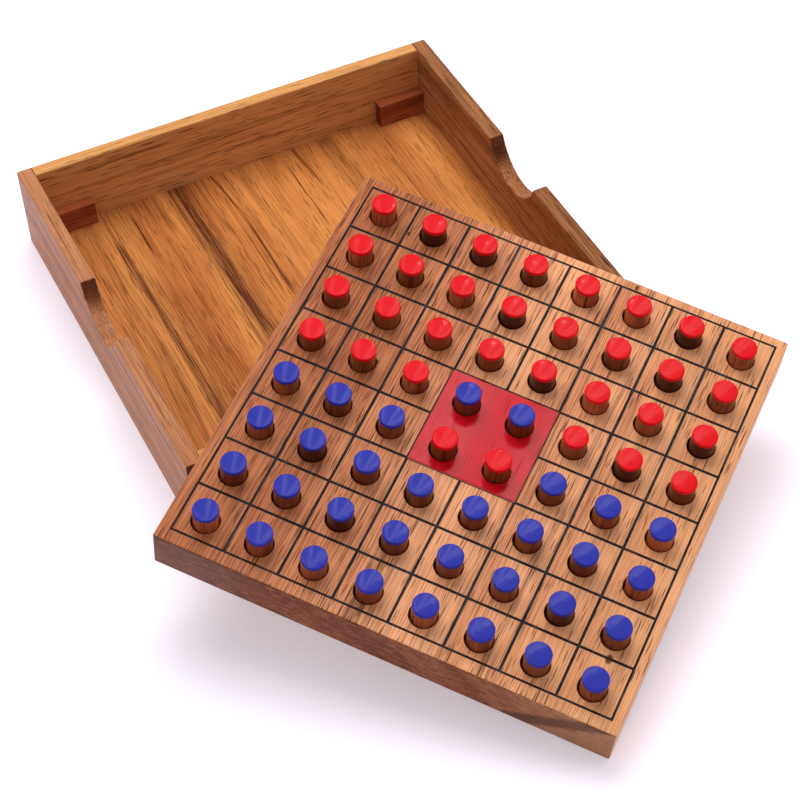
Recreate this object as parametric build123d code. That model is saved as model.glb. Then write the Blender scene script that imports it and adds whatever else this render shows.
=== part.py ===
from build123d import *

import os
from math import asin, atan2, cos, degrees, hypot, radians, sin

# Peg reversi game: a wooden tray, and a thick playing board that leans on it.
#
# Millimetres, +Z up. The origin is the middle of the tray's underside, which stands on the table. +X runs
# along the back wall from left to right, and +Y runs to the back.
#
# The board has its low corner on the table and its underside on the top of the tray's front wall. Put
# away, it lies flat on the corner blocks, just below the rim, with the pegs loose underneath it.

# Playing squares, whose length is along the board's grain, with those at the board's edges a little
# smaller, and the field of squares in the middle that is painted as one
squares_per_side = 8
square_width = 23.9
square_length = 24.15
outer_square_width = 23.3
outer_square_length = 23.7
field_squares = 2

# Printed lines, scored this deep into the wood, and how far the print sits off the middle of the board
line_width = 1.2
border_line_width = 1.0
line_depth = 0.2
print_shift_x = 0.45
print_shift_y = 0.65

# Peg holes, drilled apart from the print, at a pitch of their own and off the middle along the grain
hole_pitch_across = 23.95
hole_pitch_along = 24.4
hole_shift_along = -0.9

# Pegs, which stand loose in blind holes
peg_diameter = 10.9
peg_stand_out = 9.7
peg_end_radius = 0.8
hole_depth = 12.0
hole_side_clearance = 0.75

# What is left between a peg and the downhill side of its hole once the peg has settled towards it
settled_gap = 0.35

# Board
board_side_margin = 4.8
board_end_margin = 5.35
wood_under_holes = 9.5
board_edge_radius = 0.8

# Tray, and the room around and above the board when it is put away
side_wall_thickness = 7.5
end_wall_thickness = 7.0
floor_thickness = 7.5
board_side_clearance = 1.7
board_end_clearance = 0.5
rim_above_board = 1.5
tray_edge_radius = 0.8

# Corner blocks, higher than a lying peg by this clearance
block_length = 24.5
block_depth = 6.0
peg_storage_clearance = 1.6

# Finger notches in the side walls, and how far behind the middle of its wall each one is cut
notch_depth = 15.5
notch_radius = 23.0
notch_corner_radius = 1.2
left_notch_shift = -1.7
right_notch_shift = 0.2

# Lean: how far the board is turned, where the middle of its rounded low corner is, measured sideways and
# out from the tray's front, and the gap at the rim
board_turn = -50.11
low_corner_x = -9.6
low_corner_reach = 182.6
lean_gap = 0.05

# Cutters run this far past the faces that they open
cutter_overrun = 1.0

# Sizes that follow
grid_width = (squares_per_side - 2) * square_width + 2 * outer_square_width
grid_length = (squares_per_side - 2) * square_length + 2 * outer_square_length
board_width = grid_width + 2 * board_side_margin
board_length = grid_length + 2 * board_end_margin
board_thickness = hole_depth + wood_under_holes
hole_radius = peg_diameter / 2 + hole_side_clearance
peg_length = hole_depth + peg_stand_out
block_height = peg_diameter + peg_storage_clearance
tray_height = floor_thickness + block_height + board_thickness + rim_above_board
inner_width = board_width + 2 * board_side_clearance
inner_depth = board_length + 2 * board_end_clearance
outer_width = inner_width + 2 * side_wall_thickness
outer_depth = inner_depth + 2 * end_wall_thickness

BOTTOM = (Align.CENTER, Align.CENTER, Align.MIN)


def box_between(x_ends, y_ends, z_ends):
    """A box given by its two ends on each axis, in either order."""
    low = [min(ends) for ends in (x_ends, y_ends, z_ends)]
    high = [max(ends) for ends in (x_ends, y_ends, z_ends)]
    size = [top - bottom for bottom, top in zip(low, high)]
    return Pos(*low) * Box(*size, align=(Align.MIN, Align.MIN, Align.MIN))


def floor_panel():
    """Panel inside the frame of walls, flush with their undersides."""
    return Box(inner_width, inner_depth, floor_thickness, align=BOTTOM)


def side_wall(side, notch_shift):
    """Wall over the tray's full depth, with a finger notch. side is -1 on the left and 1 on the right."""
    outline = Rectangle(outer_depth, tray_height, align=(Align.CENTER, Align.MIN))
    outline -= Pos(notch_shift, tray_height - notch_depth + notch_radius) * Circle(notch_radius)
    notch_corners = outline.vertices().group_by(Axis.Y)[-1].sort_by(Axis.X)[1:-1]
    outline = fillet(notch_corners, notch_corner_radius)

    left_face = inner_width / 2 if side > 0 else -outer_width / 2
    wall = extrude(Plane.YZ.offset(left_face) * outline, side_wall_thickness)
    rim = [edge for edge in wall.edges() if edge.bounding_box().min.Z > floor_thickness]
    long_edges = [edge for edge in rim if edge.bounding_box().size.X < side_wall_thickness / 2]
    end_edges = wall.edges().filter_by(Axis.X).filter_by_position(Axis.Z, tray_height, tray_height)
    outer_corners = wall.edges().filter_by(Axis.Z).group_by(Axis.X)[-1 if side > 0 else 0]
    ends = end_edges.group_by(Axis.Y)
    return fillet(long_edges + ends[0] + ends[-1] + outer_corners, tray_edge_radius)


def end_wall(side):
    """Wall that butts between the side walls. side is -1 at the front and 1 at the back."""
    y_ends = (side * inner_depth / 2, side * outer_depth / 2)
    wall = box_between((-inner_width / 2, inner_width / 2), y_ends, (0, tray_height))
    return fillet(wall.edges().filter_by(Axis.X).group_by(Axis.Z)[-1], tray_edge_radius)


def corner_blocks():
    """Four strips on the floor, one in each corner, against the end walls."""
    corner_x = inner_width / 2
    corner_y = inner_depth / 2
    z_ends = (floor_thickness, floor_thickness + block_height)
    strips = []
    for x in (-1, 1):
        for y in (-1, 1):
            x_ends = (x * corner_x, x * (corner_x - block_length))
            y_ends = (y * corner_y, y * (corner_y - block_depth))
            strips.append(box_between(x_ends, y_ends, z_ends))
    return Compound(children=strips)


def hole_centres():
    """Centre of each hole on the board, by column from the left and row from the back, both from 0."""
    middle = (squares_per_side - 1) / 2
    centres = {}
    for row in range(squares_per_side):
        for column in range(squares_per_side):
            x = (column - middle) * hole_pitch_across
            y = (middle - row) * hole_pitch_along + hole_shift_along
            centres[column, row] = (x, y)
    return centres


def line_scores():
    """Shallow cuts for the printed lines. Lines that would cross the middle field stop at its edges."""
    inner_squares = (square_width, square_length)
    grid = (grid_width, grid_length)
    z_ends = (board_thickness - line_depth, board_thickness + cutter_overrun)
    cuts = []
    for axis in (0, 1):
        reach = (grid[1 - axis] + border_line_width) / 2
        field_end = field_squares * inner_squares[1 - axis] / 2
        lines = [(-grid[axis] / 2, border_line_width), (grid[axis] / 2, border_line_width)]
        for number in range(1, squares_per_side):
            lines.append(((number - squares_per_side / 2) * inner_squares[axis], line_width))
        for offset, width in lines:
            inside_field = abs(offset) < field_squares * inner_squares[axis] / 2 - line_width
            spans = [(-reach, -field_end), (field_end, reach)] if inside_field else [(-reach, reach)]
            across = (offset - width / 2, offset + width / 2)
            for along in spans:
                ends = (across, along) if axis == 0 else (along, across)
                cuts.append(box_between(*ends, z_ends))
    return [Pos(print_shift_x, print_shift_y, 0) * cut for cut in cuts]


def board():
    """Plank with scored lines and blind peg holes, in its own frame: middle of its underside, z up."""
    plank = Box(board_width, board_length, board_thickness, align=BOTTOM)
    plank = fillet(plank.edges(), board_edge_radius) - line_scores()
    drill = Cylinder(hole_radius, hole_depth + cutter_overrun, align=BOTTOM)
    return plank - [Pos(x, y, wood_under_holes) * drill for x, y in hole_centres().values()]


def peg():
    """Round peg with rounded ends, standing on its lower end."""
    dowel = Cylinder(peg_diameter / 2, peg_length, align=BOTTOM)
    return fillet(dowel.edges().filter_by(GeomType.CIRCLE), peg_end_radius)


def lean_angle():
    """Tilt at which the underside lies on the rim, while the low corner stands on the table.

    Seen along the rim, the underside is a line that touches the round of the corner from below, and
    passes over the round of the rim. The angle is that of the two centres, and what their radii add.
    """
    run = low_corner_reach + tray_edge_radius
    rise = tray_height - tray_edge_radius - board_edge_radius
    radii = board_edge_radius + tray_edge_radius + lean_gap
    return degrees(atan2(rise, run) + asin(radii / hypot(run, rise)))


def board_place():
    """Where the board's own frame lies."""
    turned = Rot(X=lean_angle()) * Rot(Z=board_turn)
    corner_x = board_width / 2 - board_edge_radius
    corner_y = board_edge_radius - board_length / 2
    corner = (turned * Pos(corner_x, corner_y, board_edge_radius)).position
    stand = Vector(low_corner_x, -outer_depth / 2 - low_corner_reach, board_edge_radius)
    return Pos(*(stand - corner)) * turned


def peg_places():
    """Where the lower end of each peg stands on the board, moved downhill from its hole's centre."""
    settle = hole_side_clearance - settled_gap
    downhill = radians(-90 - board_turn)
    step_x = settle * cos(downhill)
    step_y = settle * sin(downhill)
    return {hole: Pos(x + step_x, y + step_y, wood_under_holes) for hole, (x, y) in hole_centres().items()}


def paired_holes():
    """Neighbours along the edges of the board whose pegs share a node, to keep the number of files down."""
    last = squares_per_side - 1
    pairs = [((column, row), (column + 1, row)) for row in (0, last) for column in range(0, last, 2)]
    starts = [(0, 1), (last, 1), (last, last - 2)]
    return pairs + [((column, row), (column, row + 1)) for column, row in starts]


def upper_colour(hole):
    """Colour of the end that shows: red on the back half, blue on the front half, swapped in the field."""
    half = squares_per_side // 2
    in_field = all(abs(number + 0.5 - half) < field_squares / 2 for number in hole)
    return "red" if (hole[1] < half) != in_field else "blue"


def hole_name(hole):
    """Column letter and row number."""
    return chr(ord("a") + hole[0]) + str(hole[1] + 1)


def peg_nodes():
    """Node name to the holes whose pegs it holds."""
    groups = paired_holes()
    paired = [hole for group in groups for hole in group]
    groups += [(hole,) for hole in hole_centres() if hole not in paired]
    nodes = {}
    for group in groups:
        word = "peg" if len(group) == 1 else "pegs"
        nodes["_".join([upper_colour(group[0]), word] + [hole_name(hole) for hole in group])] = group
    return nodes


place = board_place()
nodes = {
    "floor_panel": floor_panel(),
    "left_wall": side_wall(-1, left_notch_shift),
    "right_wall": side_wall(1, right_notch_shift),
    "back_wall": end_wall(1),
    "front_wall": end_wall(-1),
    "corner_blocks": corner_blocks(),
    "board": place * board(),
}
one_peg = peg()
on_board = peg_places()
for name, holes in peg_nodes().items():
    pegs = [place * on_board[hole] * one_peg for hole in holes]
    nodes[name] = pegs[0] if len(pegs) == 1 else Compound(children=pegs)

os.makedirs("parts", exist_ok=True)
for name, shape in nodes.items():
    export_step(shape, f"parts/{name}.step")

lift = place.z_axis.direction
low = place.position
print(f"{len(nodes)} nodes")
print(f"tray {outer_width:.1f} by {outer_depth:.1f}, {tray_height:.1f} high")
print(f"board {board_width:.1f} by {board_length:.1f}, {board_thickness:.1f} thick")
print(f"lean {lean_angle():.4f} degrees, pegs lift along {lift.X:.6f} {lift.Y:.6f} {lift.Z:.6f}")
print(f"middle of the board's underside {low.X:.3f} {low.Y:.3f} {low.Z:.3f}")
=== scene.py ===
import math
import random

import bmesh
import bpy
from mathutils import Matrix, Vector


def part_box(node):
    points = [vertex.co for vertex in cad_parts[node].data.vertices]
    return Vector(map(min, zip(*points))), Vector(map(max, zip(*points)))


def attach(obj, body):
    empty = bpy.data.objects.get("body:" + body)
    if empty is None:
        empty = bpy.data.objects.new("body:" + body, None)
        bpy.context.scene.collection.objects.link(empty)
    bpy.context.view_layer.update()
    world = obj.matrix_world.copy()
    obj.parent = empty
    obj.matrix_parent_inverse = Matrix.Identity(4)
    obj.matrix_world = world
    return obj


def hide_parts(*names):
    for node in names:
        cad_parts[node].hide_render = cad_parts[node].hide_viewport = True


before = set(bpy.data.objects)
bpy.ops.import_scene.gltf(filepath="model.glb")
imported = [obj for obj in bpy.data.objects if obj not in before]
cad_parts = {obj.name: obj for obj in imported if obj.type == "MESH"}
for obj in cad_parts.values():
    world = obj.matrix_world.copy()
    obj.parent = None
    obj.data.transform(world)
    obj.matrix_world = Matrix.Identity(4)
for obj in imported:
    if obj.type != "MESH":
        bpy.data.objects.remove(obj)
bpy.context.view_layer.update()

MM = 0.001
X, Y, Z = Vector((1, 0, 0)), Vector((0, 1, 0)), Vector((0, 0, 1))


# Where the board and its pegs lie, read from the frame

def centre_of(node):
    low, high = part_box(node)
    return (low + high) / 2


def span(node, direction):
    """Lowest and highest place of a node along a direction."""
    places = [corner.co.dot(direction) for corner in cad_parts[node].data.vertices]
    return min(places), max(places)


# Pegs b2, g2 and b7 are five holes apart, along a row and along a column
peg_nodes = sorted(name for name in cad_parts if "_peg" in name)
first_peg = centre_of("red_peg_b2")
column_step = (centre_of("red_peg_g2") - first_peg) / 5
row_step = (centre_of("blue_peg_b7") - first_peg) / 5
board_x, board_y = column_step.normalized(), -row_step.normalized()
board_up = board_x.cross(board_y)
board_middle = centre_of("board")
board_low, board_high = span("board", board_up)
board_half = (board_high - board_low) / MM / 2
peg_low, peg_high = span("red_peg_b2", board_up)
peg_length = peg_high - peg_low
peg_left, peg_right = span("red_peg_b2", board_x)
peg_radius = (peg_right - peg_left) / 2


def hole_of(word):
    """Column and row of a hole such as c3, both from 0."""
    return ord(word[0]) - ord("a"), int(word[1]) - 1


def peg_centre(hole):
    column, row = hole
    return first_peg + column_step * (column - 1) + row_step * (row - 1)


# Materials: what a socket gives is reckoned with like a number, and one method makes every node

class Value:
    """What a socket of a material gives."""

    def __init__(self, finish, socket):
        self.finish = finish
        self.socket = socket

    def reckon(self, operation, *others):
        return self.finish.node("Math", {"operation": operation}, dict(enumerate((self, *others))))

    def __add__(self, other):
        return self.reckon("ADD", other)

    def __sub__(self, other):
        return self.reckon("SUBTRACT", other)

    def __mul__(self, other):
        return self.reckon("MULTIPLY", other)

    def __pow__(self, other):
        return self.reckon("POWER", other)

    __radd__ = __add__
    __rmul__ = __mul__

    def __rsub__(self, other):
        return self.finish.node("Math", {"operation": "SUBTRACT"}, {0: other, 1: self})

    def __abs__(self):
        return self.reckon("ABSOLUTE")

    def at_most(self, other):
        return self.reckon("MINIMUM", other)

    def at_least(self, other):
        return self.reckon("MAXIMUM", other)

    def rise(self, start, end):
        """0 up to start and 1 past end, smooth between them. With end below start it falls."""
        inputs = {"Value": self, "From Min": start, "From Max": end}
        return self.finish.node("MapRange", {"interpolation_type": "SMOOTHSTEP"}, inputs)


class Finish:
    """A material, or the world's surface, in the making."""

    def __init__(self, owner):
        self.owner = owner
        self.owner.use_nodes = True
        self.tree = self.owner.node_tree
        self.tree.nodes.clear()

    def node(self, kind, settings=None, inputs=None, output=0):
        """A node with its settings and inputs, as the value of one output, or a list for a tuple of them."""
        made = self.tree.nodes.new(kind if kind.startswith("Shader") else "ShaderNode" + kind)
        for name, setting in (settings or {}).items():
            setattr(made, name, setting)
        for name, value in (inputs or {}).items():
            if isinstance(value, Value):
                self.tree.links.new(value.socket, made.inputs[name])
            else:
                made.inputs[name].default_value = value
        if isinstance(output, tuple):
            return [Value(self, made.outputs[name]) for name in output]
        return Value(self, made.outputs[output])

    def place(self, middle, across, along):
        """Millimetres from a piece's middle: across its width, along its grain, and through it."""
        turn = Matrix((across, along, across.cross(along))).transposed().to_euler()
        inputs = {
            "Vector": self.node("TexCoord", output="Object"),
            "Location": middle,
            "Rotation": turn,
            "Scale": (MM, MM, MM),
        }
        return self.node("Mapping", {"vector_type": "TEXTURE"}, inputs)

    def parts(self, vector):
        return self.node("SeparateXYZ", None, {0: vector}, output=(0, 1, 2))

    def stretch(self, vector, factors, shift=(0, 0, 0)):
        scaled = self.node("VectorMath", {"operation": "MULTIPLY"}, {0: vector, 1: factors})
        return self.node("VectorMath", {"operation": "ADD"}, {0: scaled, 1: shift})

    def noise(self, vector, detail=2.0, roughness=0.5):
        inputs = {"Vector": vector, "Scale": 1.0, "Detail": detail, "Roughness": roughness}
        return self.node("TexNoise", {"noise_dimensions": "3D"}, inputs)

    def grain_noise(self, place, across, along, shift, detail=2.0, roughness=0.5):
        """Noise drawn out along the grain, with so many changes per millimetre across it and along it."""
        return self.noise(self.stretch(place, (across, along, across), shift), detail, roughness)

    def stripe(self, distance, detail=2.0, roughness=0.5):
        inputs = {"W": distance, "Scale": 1.0, "Detail": detail, "Roughness": roughness}
        return self.node("TexNoise", {"noise_dimensions": "1D"}, inputs)

    def blend(self, amount, first, second, mode="MIX"):
        settings = {"data_type": "RGBA", "blend_type": mode, "clamp_factor": True}
        return self.node("Mix", settings, {0: amount, 6: first, 7: second}, output=2)

    def end_at(self, shader, output="Material"):
        self.node("Output" + output, None, {"Surface": shader}, output=())
        return self.owner


def new_finish(name):
    return Finish(bpy.data.materials.new(name))


def shade(code):
    """A colour written as six hexadecimal digits, as linear light."""
    channels = [int(code[place:place + 2], 16) / 255 for place in (0, 2, 4)]
    linear = [c / 12.92 if c <= 0.04045 else ((c + 0.055) / 1.055) ** 2.4 for c in channels]
    return (*linear, 1.0)


# Wood under a thin lacquer: how rough it is, how much rougher its open pores are, their depth in
# millimetres, how much lacquer shows, and how many millimetres a streak takes to fade out at its ends

WOOD_ROUGHNESS, PORE_ROUGHNESS = 0.42, 0.3
PORE_DEPTH = 0.08
WOOD_COAT = 0.02
STREAK_END = 14


def timber(finish, place, grain, heart, palette, seed, bands, wander, figure=1.0, pores=1.0, crisp=0.7,
           streaks=(), end="967c72"):
    """Colour, pores and fibres of oiled tropical wood, sawn from a log whose heart lies beside the board.

    place is in millimetres with its second axis along the grain, and grain is the same direction in the
    object. heart is how far across and above the board's middle the rings have their centre, bands how
    many millimetres apart the broad ones lie, and wander how far they stray. palette holds the light, the
    brown, the dark and the pores' colour. figure, pores and crisp say how strongly the rings, the pores and
    the hairlines show. streaks are the board's own dark lines, and end is what the end grain is darkened by.
    """
    light, brown, dark, pore = (shade(code) for code in palette)
    drift = finish.grain_noise(place, 0.012, 0.0032, (seed, 0, 0), 3)
    ripple = finish.grain_noise(place, 0.08, 0.012, (0, seed, 0))
    across, along, depth = finish.parts(place)
    side = across - heart[0] + (drift - 0.5) * (2 * wander) + (ripple - 0.5) * (0.25 * wander)
    rise = depth - heart[1]
    ring = (side * side + rise * rise) ** 0.5
    wide = finish.stripe(ring * (1 / bands) + seed, 1.5)
    narrow = finish.stripe(ring * (3.6 / bands) + 2 * seed, 2.5, 0.6)
    thread = finish.stripe(ring * (11 / bands) + 3 * seed, 2, 0.6)
    fade = finish.grain_noise(place, 0.09, 0.016, (0, 0, seed))
    fibre = finish.grain_noise(place, 0.95, 0.022, (0, 0, seed), 4, 0.75)
    hair = finish.grain_noise(place, 2.4, 0.035, (0, 0, seed))
    cloud = finish.grain_noise(place, 0.04, 0.02, (seed, seed, 0))

    # Broad bands and clouds, dark rings, thin brown rings where those fade, fibres, and hairlines
    mellow = wide.rise(0.36, 0.66) * 0.75 + (cloud - 0.5) * 0.8
    colour = finish.blend(mellow, light, brown)
    dark_ring = narrow.rise(0.53, 0.70) * fade.rise(0.36, 0.62)
    colour = finish.blend(dark_ring * (0.9 * figure), colour, dark)
    thin_ring = thread.rise(0.52, 0.72) * fade.rise(0.66, 0.40)
    colour = finish.blend(thin_ring * (0.55 * figure), colour, brown)
    colour = finish.blend(fibre.rise(0.50, 0.75) * 0.25, colour, dark)
    colour = finish.blend(fibre.rise(0.48, 0.30) * 0.3, colour, light)
    colour = finish.blend(hair.rise(0.50, 0.62) * (0.6 * crisp), colour, dark)
    colour = finish.blend(hair.rise(0.50, 0.38) * (0.6 * crisp), colour, light)

    swaying = across + (ripple - 0.5) * 3.5
    broken = hair.rise(0.36, 0.60) * 0.55 + 0.45
    for streak in streaks:
        colour = finish.blend(streak_mark(swaying, along, fibre, *streak) * broken, colour, dark)

    fine = pore_marks(finish, place, (1.25, 0.075, 1.25), seed, wide * 0.5 + cloud * 0.5, 0.95)
    coarse = pore_marks(finish, place, (0.9, 0.048, 0.9), seed + 5, narrow, 1.12)
    marks = fine.at_least(coarse) * pores
    colour = finish.blend(marks * 0.85, colour, pore)
    return finish.blend(cut_end(finish, grain) * 0.9, colour, shade(end), "MULTIPLY"), marks, fibre


def streak_mark(across, along, fibre, at, lean, half_width, start, end, strength):
    """One dark streak of the wood, from start to end along the grain, frayed at its edges."""
    away = abs(across - along * lean - at) + (fibre - 0.5) * (1.2 * half_width + 0.8)
    lengthways = along.rise(start, start + STREAK_END) * along.rise(end, end - STREAK_END)
    return away.rise(half_width * 1.3, half_width * 0.4) * lengthways * strength


def pore_marks(finish, place, cells, seed, crowd, rarity):
    """Open pores: short dark dashes along the grain, and dots where the grain is cut across."""
    inputs = {"Vector": finish.stretch(place, cells, (seed, seed, seed)), "Scale": 1.0, "Randomness": 1.0}
    away, cell = finish.node("TexVoronoi", None, inputs, output=("Distance", "Color"))
    return away.rise(0.30, 0.16) * (finish.parts(cell)[0] + crowd).rise(rarity, rarity + 0.1)


def cut_end(finish, grain):
    """1 on a face that cuts the grain across, and 0 along it."""
    normal = finish.node("TexCoord", output="Normal")
    facing = finish.node("VectorMath", {"operation": "DOT_PRODUCT"}, {0: normal, 1: grain}, output="Value")
    return abs(facing).rise(0.45, 0.85)


def relief(marks, fibre):
    """Height of bare wood: sunken pores, and fibres that barely stand out."""
    return fibre * 0.3 - marks


def lacquer(finish, colour, roughness, height, depth, coat, gloss=0.08):
    """Thinly lacquered or painted surface. depth is the height's full step in millimetres."""
    bump = finish.node("Bump", None, {"Strength": 0.6, "Distance": depth * MM, "Height": height})
    inputs = {
        "Base Color": colour,
        "Roughness": roughness,
        "Specular IOR Level": gloss,
        "Coat Weight": coat,
        "Coat Roughness": 0.07,
        "Normal": bump,
    }
    return finish.end_at(finish.node("BsdfPrincipled", None, inputs))


def wear(node, material):
    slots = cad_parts[node].data.materials
    slots.clear()
    slots.append(material)


# The tray's boards and blocks

def dress(node, across, along, **wood):
    finish = new_finish(node + "_wood")
    place = finish.place(centre_of(node), across, along)
    colour, marks, fibre = timber(finish, place, along, **wood)
    roughness = WOOD_ROUGHNESS + marks * PORE_ROUGHNESS
    wear(node, lacquer(finish, colour, roughness, relief(marks, fibre), PORE_DEPTH, WOOD_COAT))


# Streaks: place across, lean, half width, start and end along the grain, strength
FLOOR_STREAKS = (
    (-33.5, 0, 2.6, -24, 116, 1.1), (-34, 0, 8, -40, 118, 0.6), (-37.8, 0, 0.6, 44, 114, 1.0),
    (-5.5, -0.1, 0.7, 60, 114, 1.1), (-12.6, 0, 0.9, -2, 74, 1.1), (-16.4, 0, 0.5, -2, 62, 0.8),
    (-20.8, 0, 0.35, 48, 114, 0.6), (-61.4, 0, 0.7, 56, 99, 1.1), (-73.5, 0, 2.3, -70, 84, 0.85),
    (-46, 0, 1.8, 66, 114, 0.6), (22.4, 0, 0.45, 36, 98, 1.0), (36.5, -0.065, 0.8, 60, 114, 0.7),
    (75, -0.06, 0.5, 50, 104, 0.5), (-90, 0, 0.5, 60, 100, 0.7), (-80, 0, 22, -140, 140, 0.4),
    (2, -0.03, 3, 20, 116, 0.3), (52, -0.05, 5, -30, 116, 0.45))
BACK_STREAKS = (
    (15, 0, 1.1, -92, -28, 0.6), (7.5, 0.03, 0.5, -104, 104, 0.5), (10, 0, 1.8, -34, 64, 0.35),
    (-1.5, 0, 1.3, -64, 104, 0.4))
RIGHT_STREAKS = (
    (22.5, 0, 2.2, -140, 140, 0.5), (14, 0, 4.0, -24, 112, 0.55), (4, 0.06, 1.2, 40, 112, 0.6),
    (-6, 0.03, 0.8, -60, 60, 0.5))
LEFT_STREAKS = ((3.5, 0, 1.7, 20, 106, 0.7), (13, 0.01, 0.6, -100, 20, 0.5))

dress("floor_panel", X, Y, heart=(24, -60), palette=("ec9c54", "aa5c2a", "52220e", "542612"),
      seed=3.7, bands=26, wander=30, figure=0.6, pores=0.8, crisp=0.45, streaks=FLOOR_STREAKS)
dress("back_wall", Z, X, heart=(14, -60), palette=("e2a262", "b87844", "5a3014", "3a1c0c"),
      seed=8.2, bands=14, wander=7, figure=0.7, crisp=0.5, streaks=BACK_STREAKS)
dress("front_wall", Z, X, heart=(-20, 55), palette=("e0985c", "b46c40", "5a2c14", "3a1c0c"),
      seed=12.9, bands=14, wander=7)
# The walls' darker end grain, most of all on the left wall, also paints the shade in their finger notches:
# partly wood, partly painted shade
dress("left_wall", Z, Y, heart=(30, 40), palette=("cc8c62", "a66a44", "78401f", "5a3420"),
      seed=5.1, bands=10, wander=5, figure=0.8, pores=0.6, streaks=LEFT_STREAKS, end="7a5a4e")
dress("right_wall", Z, Y, heart=(-26, 48), palette=("ba7c4c", "9a5c33", "4c2412", "3a1a0e"),
      seed=1.6, bands=12, wander=6, streaks=RIGHT_STREAKS, end="8a6a60")
dress("corner_blocks", Z, X, heart=(5, 30), palette=("bc663e", "98502e", "5a2818", "33160c"),
      seed=6.6, bands=9, wander=4)


# The playing board: wood, with its squares and middle field printed on it. Sizes are in millimetres.

SQUARE = (23.9, 24.15)
OUTER_SQUARE = (23.3, 23.7)
PRINT_SHIFT = (0.45, 0.65)
LINE_HALF, BORDER_LINE_HALF = 0.6, 0.5
EDGE_BLUR = 0.12
INK, INK_WORN = shade("16141a"), shade("363238")
FIELD_RED, FIELD_DARK = (0.68, 0.005, 0.014, 1), shade("7a0010")
half_grid = [3 * inner + outer for inner, outer in zip(SQUARE, OUTER_SQUARE)]

BOARD_STREAKS = (
    (-78, 0.02, 5.0, 50, 114, 0.28), (-73.8, 0, 2.4, -48, -26, 0.35), (61, 0.03, 0.5, -102, -78, 0.7),
    (64.5, 0.02, 0.4, -102, -80, 0.6), (93, 0, 0.5, -52, -31, 0.6), (96, 0.02, 0.4, -54, -34, 0.5),
    (91, 0.01, 2.6, -104, -58, 0.6))
# Small knots and chips: place across, place along, radius
SPOTS = ((30.7, 98.9, 0.9), (85, -72, 1.5), (-54.2, 13.5, 0.8), (-69.9, 80.8, 0.7))
SPOT_BROWN = shade("2a120a")


def print_masks(finish, place):
    """1 on the ink of the lines, and 1 on the paint of the middle field."""
    across, along, depth = finish.parts(place)
    ragged = (finish.noise(finish.stretch(place, (1.4, 0.5, 1.4)), 3, 0.6) - 0.5) * 0.30
    to_lines, past_grid, past_field = [], [], []
    for axis, distance in enumerate((across, along)):
        distance = distance - PRINT_SHIFT[axis]
        out = abs(distance)
        near = finish.node("Math", {"operation": "PINGPONG"}, {0: distance, 1: SQUARE[axis] / 2})
        # The pattern of even lines ends inside the outer squares, which are smaller
        beyond = out.rise(half_grid[axis] - 8, half_grid[axis] - 6)
        to_lines.append(near + beyond * SQUARE[axis])
        past_grid.append(out - half_grid[axis])
        past_field.append(out - SQUARE[axis])

    to_line = to_lines[0].at_most(to_lines[1]) + ragged
    inner = to_line.rise(LINE_HALF + EDGE_BLUR, LINE_HALF - EDGE_BLUR)
    past_border = past_grid[0].at_least(past_grid[1])
    inside = past_border.rise(0.1, -0.1)
    to_border = abs(past_border) + ragged
    border = to_border.rise(BORDER_LINE_HALF + EDGE_BLUR, BORDER_LINE_HALF - EDGE_BLUR)
    field = (past_field[0].at_least(past_field[1]) + ragged).rise(0.05, -0.15)
    top = depth.rise(board_half - 0.5, board_half - 0.3)
    lines = (inner * inside).at_least(border)
    return lines * (1 - field) * top, field * top


def end_grain_figure(finish, place, colour):
    """The board's own end: a dark slanting band, a tan corner beyond it, and greyer wood at the far end."""
    across, _, depth = finish.parts(place)
    grain_end = cut_end(finish, board_y)
    mottle = finish.noise(finish.stretch(place, (0.14, 0.02, 0.7), (7, 2, 1)), 4, 0.7)
    colour = finish.blend(mottle.rise(0.50, 0.66) * grain_end * 0.6, colour, shade("4a2416"))
    colour = finish.blend(mottle.rise(0.48, 0.36) * grain_end * 0.4, colour, shade("d08a60"))
    slant = (across - 57) * 0.523 - (depth + board_half) * 0.852
    colour = finish.blend(abs(slant).rise(5.0, 2.0) * grain_end * 0.7, colour, shade("3a1f16"))
    colour = finish.blend(slant.rise(2.0, 7.0) * grain_end * 0.5, colour, shade("a8795a"))
    return finish.blend(across.rise(-45, -75) * grain_end * 0.35, colour, shade("7a6258"))


def board_wood():
    """The plank, with painted sheen that leaves it browner on the left and yellower on the right, and its
    spots and what is printed on it.
    """
    finish = new_finish("board_wood")
    place = finish.place(board_middle, board_x, board_y)
    colour, marks, fibre = timber(
        finish, place, board_y, heart=(-60, -90), palette=("fcb482", "c87a50", "5a2816", "3c180c"),
        seed=9.4, bands=17, wander=12, figure=0.6, crisp=0.75, streaks=BOARD_STREAKS, end="94705c")
    across, along, _ = finish.parts(place)
    # Painted light: the left part is darkened and the right part paled towards gold, a painted sheen that
    # fades out towards the left
    colour = finish.blend(across.rise(-10, -75) * 0.75, colour, shade("d4bca8"), "MULTIPLY")
    colour = finish.blend(across.rise(35, 95) * (1 - marks) * 0.4, colour, shade("f8b880"))
    colour = end_grain_figure(finish, place, colour)
    for spot_across, spot_along, radius in SPOTS:
        away = ((across - spot_across) ** 2 + ((along - spot_along) * 0.6) ** 2) ** 0.5
        spot = (away + fibre - 0.5).rise(radius * 1.2, radius * 0.6)
        colour = finish.blend(spot * 0.85, colour, SPOT_BROWN)

    ink, field = print_masks(finish, place)
    density = finish.noise(finish.stretch(place, (0.25, 0.12, 0.25), (3, 1, 4)), 3)
    ink_colour = finish.blend(density.rise(0.45, 0.75), INK, INK_WORN)
    colour = finish.blend(ink * (1 - marks * 0.3), colour, ink_colour)
    painted = finish.blend(marks * 0.6 + fibre.rise(0.5, 0.7) * 0.25, FIELD_RED, FIELD_DARK)
    colour = finish.blend(field, colour, painted)
    roughness = WOOD_ROUGHNESS + marks * PORE_ROUGHNESS - field * 0.2
    height = relief(marks, fibre) * (1 - field * 0.8)
    return lacquer(finish, colour, roughness, height, PORE_DEPTH, field * 0.15 + WOOD_COAT)


wear("board", board_wood())


# Pegs: brown dowels with a dipped end of each colour

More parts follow.
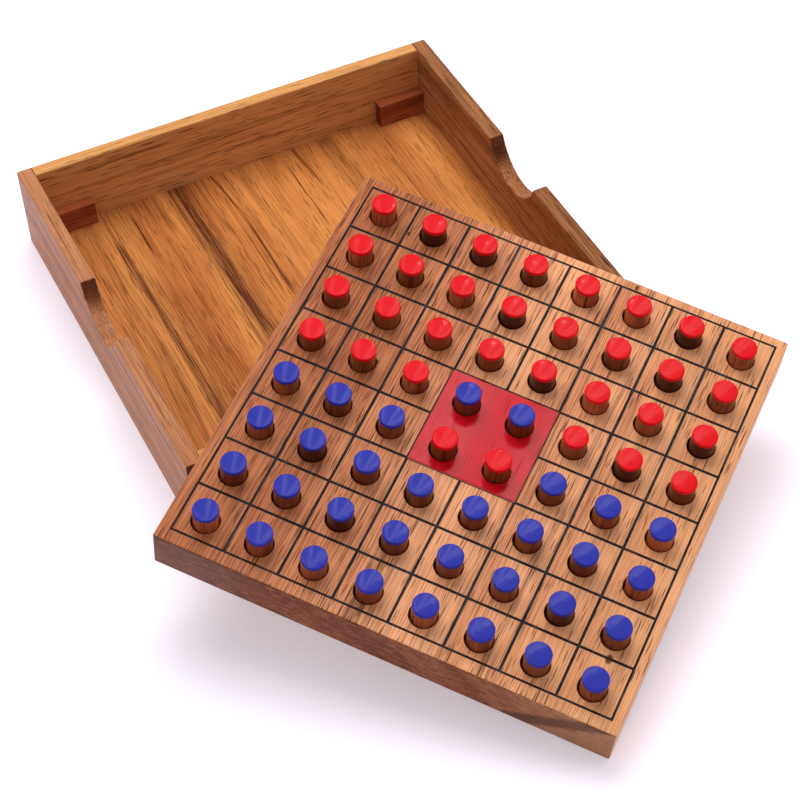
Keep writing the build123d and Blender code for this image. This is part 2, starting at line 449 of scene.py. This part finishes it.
PALE_PEGS = "a1 e1 f1 a2 f3 h5 h6 a8".split()
DARK_PEGS = "b1 c1 g1 d2 g2 e3 h3 g4 b6 c7 g7".split()
# Tones of the dowels' wood, from 0 for the palest to 1 for the darkest
PALE_TONES, TONES, DARK_TONES = (0.05, 0.25), (0.4, 0.7), (0.8, 1)

# Millimetres: length of a dipped end, how far its paint stands out, height of the paint's step, how far the
# middle of an end stands above its rim, and radius of the rim
BAND, FILM, STEP, DOME, RIM = 1.8, 0.07, 0.06, 0.2, 0.5
PEG_SIDES, RIM_SIDES = 40, 6
# How far from the middle of its line the paint's edge may wave, how large a wave is, in millimetres, how many
# degrees a peg leans in its hole, and how far apart in their wood the pegs were cut
WAVING, WAVE_SIZE, LEAN, CUT_APART = 0.2, (0.04, 0.13), 0.5, 400


def peg_profile():
    """Half of a peg's outline in millimetres, out and up from the middle of its lower end."""
    radius, length = peg_radius / MM, peg_length / MM
    bare = radius - FILM
    end = [(0, 0.02), (1.0, 0.03), (2.0, 0.05), (3.0, 0.09), (4.0, 0.14), (radius - RIM, DOME)]
    for step in range(1, RIM_SIDES + 1):
        angle = math.radians(step * 90 / RIM_SIDES)
        out = radius - RIM + RIM * math.sin(angle)
        end.append((out, DOME + RIM * (1 - math.cos(angle))))
    end += [(radius, BAND - 0.15), (radius - 0.02, BAND), (bare, BAND + STEP), (bare, BAND + 0.6)]
    return end + [(out, length - up) for out, up in reversed(end)]


def peg_shape():
    """A peg that stands on the origin, in millimetres. Material 1 is its upper paint and 2 its lower."""
    bm = bmesh.new()
    bm.verts.layers.float_vector.new("grain")
    bm.verts.layers.float.new("tone")
    profile = [bm.verts.new((out, 0, up)) for out, up in peg_profile()]
    lines = [bm.edges.new(pair) for pair in zip(profile, profile[1:])]
    bmesh.ops.spin(bm, geom=profile + lines, cent=(0, 0, 0), axis=(0, 0, 1), angle=math.tau,
                   steps=PEG_SIDES, use_merge=True)
    bmesh.ops.remove_doubles(bm, verts=bm.verts, dist=0.001)
    bmesh.ops.recalc_face_normals(bm, faces=bm.faces)
    for face in bm.faces:
        face.smooth = True
        height = face.calc_center_median().z
        if height > peg_length / MM - BAND - STEP / 2:
            face.material_index = 1
        elif height < BAND + STEP / 2:
            face.material_index = 2
    return bm


def tones_of(word):
    if word in PALE_PEGS:
        return PALE_TONES
    return DARK_TONES if word in DARK_PEGS else TONES


def wave_paint_edge(vert, waves):
    """Lifts or lowers a vertex at the edge of the paint, which doesn't run quite straight."""
    from_end = min(vert.co.z, peg_length / MM - vert.co.z)
    if BAND - WAVING < from_end < BAND + WAVING:
        angle = math.atan2(vert.co.y, vert.co.x)
        vert.co.z += sum(size * math.sin(count * angle + start) for count, start, size in waves)


def one_peg(word, chance):
    """A peg's mesh, in place on the board, with the grain and the tone of its wood."""
    bm = peg_shape()
    grain = bm.verts.layers.float_vector["grain"]
    tone = bm.verts.layers.float["tone"]
    shift = Vector([chance.uniform(-CUT_APART, CUT_APART) for axis in range(3)])
    darkness = chance.uniform(*tones_of(word))
    waves = [(count, chance.uniform(0, math.tau), chance.uniform(*WAVE_SIZE)) for count in (1, 2, 3)]
    for vert in bm.verts:
        vert[grain] = vert.co + shift
        vert[tone] = darkness
        wave_paint_edge(vert, waves)

    lean = Matrix.Rotation(math.radians(chance.uniform(0, LEAN)), 4, "X")
    turn = Matrix.Rotation(chance.uniform(0, math.tau), 4, "Z")
    axes = Matrix((board_x, board_y, board_up)).transposed().to_4x4()
    foot = Matrix.Translation(peg_centre(hole_of(word)) - board_up * (peg_length / 2))
    bmesh.ops.transform(bm, matrix=foot @ axes @ turn @ lean @ Matrix.Scale(MM, 4), verts=bm.verts)
    mesh = bpy.data.meshes.new(word)
    bm.to_mesh(mesh)
    bm.free()
    return mesh


def make_pegs():
    for node in peg_nodes:
        chance = random.Random(node)
        upper, lower = ("red", "blue") if node.startswith("red") else ("blue", "red")
        bm = bmesh.new()
        for word in node.split("_")[2:]:
            peg = one_peg(word, chance)
            bm.from_mesh(peg)
            bpy.data.meshes.remove(peg)
        mesh = bpy.data.meshes.new("painted_" + node)
        bm.to_mesh(mesh)
        bm.free()
        for material in (peg_wood, paints[upper], paints[lower]):
            mesh.materials.append(material)
        piece = bpy.data.objects.new("painted_" + node, mesh)
        bpy.context.scene.collection.objects.link(piece)
        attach(piece, node)
        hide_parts(node)


def enamel(name, code, coat):
    """Thick gloss paint that has dried a little uneven."""
    finish = new_finish(name)
    place = finish.node("Attribute", {"attribute_name": "grain"}, output="Vector")
    lumps = finish.noise(finish.stretch(place, (0.35, 0.35, 0.35)), 1)
    return lacquer(finish, shade(code), 0.2, lumps, 0.3, coat, gloss=0.04)


def dowel_wood():
    """Wood of the pegs, whose grain runs up them, darker by each peg's own tone."""
    finish = new_finish("dowel_wood")
    upright = finish.node("Attribute", {"attribute_name": "grain"}, output="Vector")
    tone = finish.node("Attribute", {"attribute_name": "tone"}, output="Fac")
    inputs = {"Vector": upright, "Rotation": (math.pi / 2, 0, 0)}
    place = finish.node("Mapping", {"vector_type": "POINT"}, inputs)
    colour, marks, fibre = timber(
        finish, place, Z, heart=(0, 0), palette=("c0683c", "8c3e24", "3a160e", "200e08"),
        seed=2.2, bands=9, wander=3, crisp=0.4)
    colour = finish.blend(tone.rise(0.15, 0.95) * 0.9, colour, shade("30140f"))
    return lacquer(finish, colour, 0.38, relief(marks, fibre), PORE_DEPTH, 0.15)


peg_wood = dowel_wood()
paints = {"red": enamel("red_enamel", "e60c18", 0.12), "blue": enamel("blue_enamel", "2e34a8", 0.18)}
make_pegs()


# Camera, light and ground

WHITE = (1.0, 1.0, 1.0)
LAMP_DISTANCE = 1.6
SHEENS, SHEEN_MIDDLE, SHEEN_STEP = range(-2, 3), 0.28, 0.15
GROUND_HALF = 4
PAPER, PAPER_GLOW = (0.88, 0.83, 0.98, 1), (1, 0.99, 1, 1)
# Metres from the tray's middle at which the paper starts to fade to white and has faded
FADE = (0.45, 1.2)


def softbox(name, direction, size, brightness, colour, mirrored=False):
    """A lamp that lights surfaces, or with mirrored one that only shows in gloss."""
    lamp = bpy.data.lights.new(name, "AREA")
    lamp.shape = "RECTANGLE"
    lamp.size, lamp.size_y = size
    lamp.energy = brightness * math.pi * size[0] * size[1]
    lamp.color = colour
    holder = bpy.data.objects.new(name, lamp)
    bpy.context.scene.collection.objects.link(holder)
    direction = Vector(direction).normalized()
    holder.location = board_middle + direction * LAMP_DISTANCE
    holder.rotation_euler = (-direction).to_track_quat("-Z", "Y").to_euler()
    holder.visible_glossy = mirrored
    holder.visible_diffuse = not mirrored


def make_camera():
    """The photograph's view, worked out from the printed squares, the holes and the tray's corners."""
    heading, dip, roll = (math.radians(angle) for angle in (23.457, 45.608, -3.378))
    data = bpy.data.cameras.new("camera")
    data.lens = 100.533
    data.sensor_width = 36
    data.shift_x = -0.00726
    data.clip_start, data.clip_end = 0.05, 20
    camera = bpy.data.objects.new("camera", data)
    bpy.context.scene.collection.objects.link(camera)
    camera.location = Vector((-276.375, -729.053, 724.424)) * MM
    turn = Matrix.Rotation(-heading, 3, "Z") @ Matrix.Rotation(math.pi / 2 - dip, 3, "X")
    camera.rotation_euler = (turn @ Matrix.Rotation(roll, 3, "Z")).to_euler()
    bpy.context.scene.camera = camera


def shown(finish):
    """1 for what the camera sees, also by way of gloss or glass, and 0 for the light on the object."""
    rays = ("Is Camera Ray", "Is Glossy Ray", "Is Transmission Ray")
    camera, glossy, through = finish.node("LightPath", output=rays)
    return camera.at_least(glossy).at_least(through)


def make_ground():
    """White paper that takes the shadow, and is plain white far from the object."""
    bm = bmesh.new()
    bmesh.ops.create_grid(bm, x_segments=1, y_segments=1, size=GROUND_HALF)
    mesh = bpy.data.meshes.new("ground")
    bm.to_mesh(mesh)
    bm.free()
    ground = bpy.data.objects.new("ground", mesh)
    bpy.context.scene.collection.objects.link(ground)
    finish = new_finish("paper")
    plain = finish.node("BsdfPrincipled", None, {"Base Color": PAPER, "Roughness": 0.9})
    glow = finish.node("Emission", None, {"Color": PAPER_GLOW, "Strength": 0.33})
    both = finish.node("AddShader", None, {0: plain, 1: glow})
    near = finish.node("MixShader", None, {0: shown(finish), 1: plain, 2: both})
    white = finish.node("Emission", None, {"Color": (*WHITE, 1), "Strength": 1.0})
    place = finish.node("TexCoord", output="Object")
    away = finish.node("VectorMath", {"operation": "LENGTH"}, {0: place}, output="Value")
    far = away.rise(*FADE) * shown(finish)
    mesh.materials.append(finish.end_at(finish.node("MixShader", None, {0: far, 1: near, 2: white})))


def make_world():
    world = bpy.data.worlds.new("surroundings")
    bpy.context.scene.world = world
    finish = Finish(world)
    light = finish.node("Background", None, {"Color": (0.97, 0.95, 1.0, 1), "Strength": 0.38})
    white = finish.node("Background", None, {"Color": (*WHITE, 1), "Strength": 1.0})
    finish.end_at(finish.node("MixShader", None, {0: shown(finish), 1: light, 2: white}), "World")


make_camera()
make_ground()
make_world()
softbox("ceiling", (0.27, 0.25, 0.93), (1.5, 1.2), 0.95, (1.0, 0.99, 0.97))
softbox("key", (0.08, 0.46, 0.9), (1.4, 1.2), 3.2, (1.0, 0.97, 0.93))
softbox("left_fill", (-1, -0.1, 0.45), (1.0, 0.8), 0.85, (1.0, 0.97, 1.0))
softbox("right_fill", (1, -0.3, 0.45), (1.0, 0.8), 1.6, (1.0, 0.94, 0.86))
for number in SHEENS:
    towards = (SHEEN_MIDDLE + SHEEN_STEP * number, 0.24, 0.93)
    softbox(f"sheen_{number + 3}", towards, (0.07, 0.9), 5.0, WHITE, mirrored=True)
softbox("glint", (0.37, 0.34, 0.87), (0.06, 0.06), 22, WHITE, mirrored=True)

bpy.context.scene.view_settings.view_transform = "Standard"
